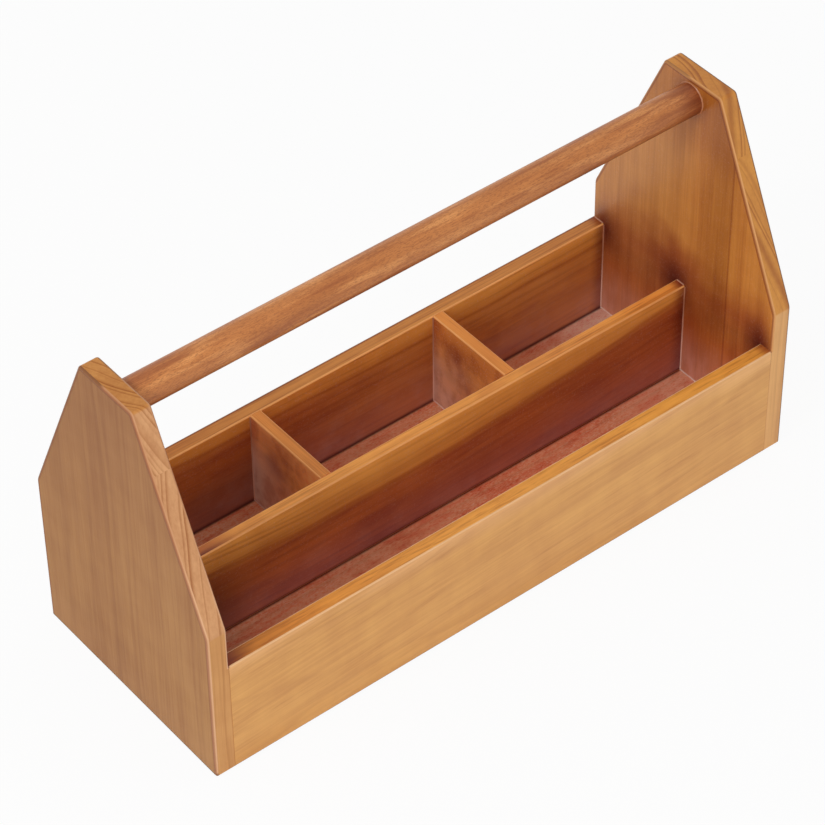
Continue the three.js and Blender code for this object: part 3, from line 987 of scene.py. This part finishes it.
def build_caddy():
    """Makes every piece and gives it its materials."""
    materials = build_materials()

    def timber(name):
        """The wood of a piece's faces, and that of its arrises."""
        kind = {"left_panel": "panel", "right_panel": "panel", "front": "front"}.get(name, "board")
        return materials[name], materials[f"{kind} arris"]

    for side in ("left", "right"):
        node = f"{side}_end_panel"
        dress(make_end_panel(f"{side}_panel", node), timber(f"{side}_panel"), "panel_wood", node)
    for side in ("front", "back"):
        node = f"{side}_board"
        dress(make_board(f"{side}_wall", node, grooved=True), timber(side), "board_wood", node)
    dress(make_board("middle_divider", "long_divider"), timber("divider"), "divider_wood", "long_divider")
    for side in ("left", "right"):
        node = f"cross_divider_{side}"
        dress(make_board(f"{side}_cross_divider", node), timber("cross"), "divider_wood", node)
    dress(make_bottom_sheet(), [materials["sheet"]], "bottom_wood", "bottom_panel")
    dress(make_rod(), [materials["rod"]], "rod_wood", "handle_rod")
    for name, (low, high) in compartments.items():
        seams = make_glue_seams(f"{name}_glue_seams", low, high)
        dress(seams, [materials["glue"]], "pin_wood")
    dress(make_top_seams(), [materials["glue"]], "pin_wood")
    for side, face_x, inward in (("left", left_high.x, 1), ("right", right_low.x, -1)):
        dress(make_rod_collar(side, face_x, inward), [materials["glue"]], "pin_wood")
    for pin in PIN_NODES:
        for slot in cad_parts[pin].material_slots:
            slot.material = materials["pin"]


# Stage, light and camera

def ray_kinds(graph):
    """1 for a ray from the camera, from a mirroring surface, and through glass, and else 0."""
    return [graph.node("ShaderNodeLightPath", output=f"Is {kind} Ray")
            for kind in ("Camera", "Glossy", "Transmission")]


def build_floor():
    """A pale floor that looks white to the camera and in reflections, and keeps a soft shadow."""
    bpy.ops.object.select_all(action="DESELECT")
    bpy.ops.mesh.primitive_plane_add(size=FLOOR_SIZE, location=(0, 0, -FLOOR_DROP))
    floor = bpy.context.object
    floor.name = "floor"
    material = bpy.data.materials.new("pale floor")
    graph = Graph(material)
    tree = graph.tree
    diffuse = graph.node("ShaderNodeBsdfDiffuse", inputs={"Color": (FLOOR_GREY,) * 3})
    white = graph.node("ShaderNodeEmission", inputs={"Color": WHITE, "Strength": 1.0})
    camera, glossy, clear = ray_kinds(graph)
    seen = camera.at_least(glossy.at_least(clear))
    blend = graph.node("ShaderNodeMixShader", inputs={0: seen * FLOOR_WHITENESS, 1: diffuse, 2: white})
    tree.links.new(blend.socket, tree.nodes["Material Output"].inputs["Surface"])
    floor.data.materials.append(material)


def build_world():
    """A dim studio with a white backdrop, which mirrors show up to a little above the horizon."""
    world = bpy.data.worlds.new("studio")
    bpy.context.scene.world = world
    graph = Graph(world)
    tree = graph.tree
    tree.nodes["Background"].inputs["Color"].default_value = (*(STUDIO_GREY,) * 3, 1)
    dim = Value(graph, tree.nodes["Background"].outputs[0])
    white = graph.node("ShaderNodeBackground", inputs={"Color": WHITE})
    height = graph.parts(graph.node("ShaderNodeTexCoord", output=0))[2]
    backdrop = 1 - graph.step(height, BACKDROP_TOP, BACKDROP_TOP + BACKDROP_FADE)
    camera, glossy, clear = ray_kinds(graph)
    seen = camera.at_least(glossy.at_least(clear) * backdrop)
    blend = graph.node("ShaderNodeMixShader", inputs={0: seen, 1: dim, 2: white})
    tree.links.new(blend.socket, tree.nodes["World Output"].inputs["Surface"])


def add_softbox(name, place, aim, width, height, power):
    """An area lamp that faces a point."""
    lamp = bpy.data.lights.new(name, "AREA")
    lamp.shape = "RECTANGLE"
    lamp.size, lamp.size_y = width, height
    lamp.energy = power
    obj = bpy.data.objects.new(name, lamp)
    obj.location = place
    obj.rotation_euler = (Vector(aim) - Vector(place)).to_track_quat("-Z", "Y").to_euler()
    bpy.context.scene.collection.objects.link(obj)


def build_camera():
    """The camera, at the place and the angle from which the photograph was taken."""
    turn = (Matrix.Rotation(VIEW_AZIMUTH, 4, "Z") @ Matrix.Rotation(pi / 2 - VIEW_ELEVATION, 4, "X")
            @ Matrix.Rotation(VIEW_ROLL, 4, "Z"))
    camera = bpy.data.objects.new("camera", bpy.data.cameras.new("camera"))
    camera.data.sensor_width = SENSOR_WIDTH_MM
    camera.data.lens = SENSOR_WIDTH_MM * VIEW_FOCAL_PX / VIEW_WIDTH_PX
    camera.data.clip_end = 50
    camera.matrix_world = Matrix.Translation(VIEW_TARGET + VIEW_DISTANCE * (turn @ Z_AXIS)) @ turn
    bpy.context.scene.collection.objects.link(camera)
    bpy.context.scene.camera = camera


build_camera()
build_world()
build_floor()
for softbox_name, softbox in SOFTBOXES.items():
    add_softbox(softbox_name, *softbox)
build_caddy()

bpy.context.scene.view_settings.view_transform = "Standard"
